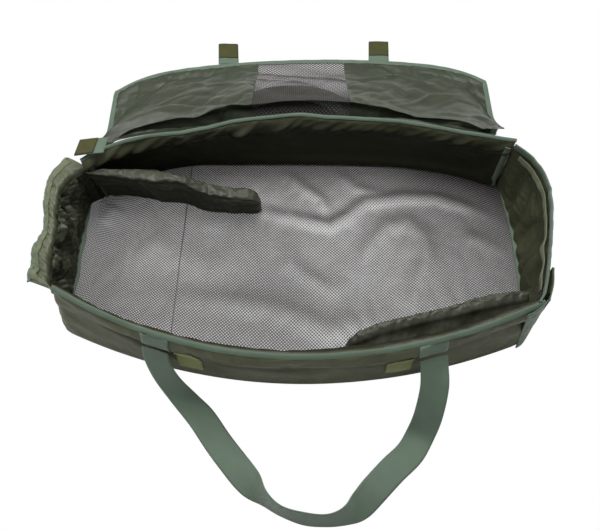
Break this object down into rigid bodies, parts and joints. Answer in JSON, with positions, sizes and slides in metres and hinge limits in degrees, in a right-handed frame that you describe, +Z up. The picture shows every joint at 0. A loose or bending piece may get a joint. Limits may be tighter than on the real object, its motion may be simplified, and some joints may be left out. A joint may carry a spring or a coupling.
{
  "type": "carp cradle",
  "caption": "Soft fishing cradle laid open: mesh floor, padded curved side walls, end flaps and fins, a thrown-back lid with a mesh window, and webbing carry handles.",
  "frame": {"origin": "middle of the floor's underside, on the ground", "axes": "+X along the cradle to the right end, +Y from the front wall to the hinged lid at the back, +Z up"},
  "size_m": [0.9866, 1.1465, 0.1675],
  "materials": {
    "olive_nylon": "coated nylon with a soft sheen",
    "teal_webbing": "matt woven webbing",
    "brown_mesh": "knitted open mesh",
    "loop_tape": "brushed loop tape",
    "hook_tape": "satin hook tape",
    "grey_foam": "matt closed-cell foam"
  },
  "bodies": {
    "root": {"floor_mesh": "brown_mesh", "floor_binding_left": "teal_webbing", "floor_binding_right": "teal_webbing", "front_wall_cover": "olive_nylon", "front_wall_foam": "grey_foam", "front_rim_binding": "teal_webbing", "back_wall_cover": "olive_nylon", "back_wall_foam": "grey_foam", "back_rim_binding": "teal_webbing", "back_left_seam_binding": "teal_webbing", "back_right_seam_binding": "teal_webbing", "front_anchor_left": "teal_webbing", "front_anchor_right": "teal_webbing", "back_anchor_left": "teal_webbing", "back_anchor_right": "teal_webbing", "front_loop_patch_left": "loop_tape", "front_loop_patch_right": "loop_tape"},
    "lid": {"lid_left_panel": "olive_nylon", "lid_window": "brown_mesh", "lid_right_panel": "olive_nylon", "lid_binding": "teal_webbing"},
    "lid_tab_left": {"lid_tab_left_strap": "teal_webbing", "lid_tab_left_hook": "hook_tape"},
    "lid_tab_right": {"lid_tab_right_strap": "teal_webbing", "lid_tab_right_hook": "hook_tape"},
    "left_fin": {"left_fin_cover": "olive_nylon", "left_fin_foam": "grey_foam"},
    "right_fin": {"right_fin_cover": "olive_nylon", "right_fin_foam": "grey_foam"},
    "front_handle": {"front_handle": "teal_webbing"},
    "back_handle": {"back_handle": "teal_webbing"},
    "left_end_wall": {"left_end_panel": "olive_nylon", "left_end_binding": "teal_webbing", "left_end_loop_strip": "loop_tape"},
    "right_end_wall": {"right_end_panel": "olive_nylon", "right_end_binding": "teal_webbing", "right_end_loop_strip": "loop_tape", "right_corner_strip": "teal_webbing"},
    "back_left_tab": {"back_left_tab_strap": "teal_webbing", "back_left_tab_hook": "hook_tape"},
    "front_right_tab": {"front_right_tab_strap": "teal_webbing", "front_right_tab_hook": "hook_tape"}
  },
  "joints": [
    {"name": "lid_hinge", "type": "hinge", "parent": "root", "child": "lid", "pos_m": [0, 0.17, 0.162], "axis": [1, 0, 0], "range_deg": [0, 201]},
    {"name": "lid_tab_left_hinge", "type": "hinge", "parent": "lid", "child": "lid_tab_left", "pos_m": [-0.186, 0.55395, 0.004], "axis": [1, 0, 0], "range_deg": [0, 38]},
    {"name": "lid_tab_right_hinge", "type": "hinge", "parent": "lid", "child": "lid_tab_right", "pos_m": [0.186, 0.56522, 0.004], "axis": [1, 0, 0], "range_deg": [0, 38]},
    {"name": "left_fin_hinge", "type": "hinge", "parent": "root", "child": "left_fin", "pos_m": [-0.428, 0.118, 0], "axis": [0, 0, -1], "range_deg": [0, 58]},
    {"name": "right_fin_hinge", "type": "hinge", "parent": "root", "child": "right_fin", "pos_m": [0.424, -0.127, 0], "axis": [0, 0, -1], "range_deg": [0, 84]},
    {"name": "front_handle_swing", "type": "hinge", "parent": "root", "child": "front_handle", "pos_m": [0, -0.257, 0.116], "axis": [-1, 0, 0], "range_deg": [0, 110]},
    {"name": "back_handle_swing", "type": "hinge", "parent": "root", "child": "back_handle", "pos_m": [0, 0.257, 0.116], "axis": [0.9993, 0.0375, 0], "range_deg": [0, 110]},
    {"name": "left_end_fold", "type": "hinge", "parent": "root", "child": "left_end_wall", "pos_m": [-0.464, 0, 0.004], "axis": [0, -1, 0], "range_deg": [0, 56]},
    {"name": "right_end_fold", "type": "hinge", "parent": "root", "child": "right_end_wall", "pos_m": [0.458, 0, 0.004], "axis": [0, 1, 0], "range_deg": [0, 50]},
    {"name": "back_left_tab_hinge", "type": "hinge", "parent": "root", "child": "back_left_tab", "pos_m": [-0.3955, 0.165, 0.1578], "axis": [0, 0.9766, -0.2149], "range_deg": [0, 60]},
    {"name": "front_right_tab_hinge", "type": "hinge", "parent": "right_end_wall", "child": "front_right_tab", "pos_m": [0.448, -0.1565, 0.124], "axis": [0, 0, -1], "range_deg": [0, 90]}
  ],
  "couplings": [
    {"joint": "back_handle_swing", "follows": "lid_hinge", "ratio": 0.545}
  ]
}
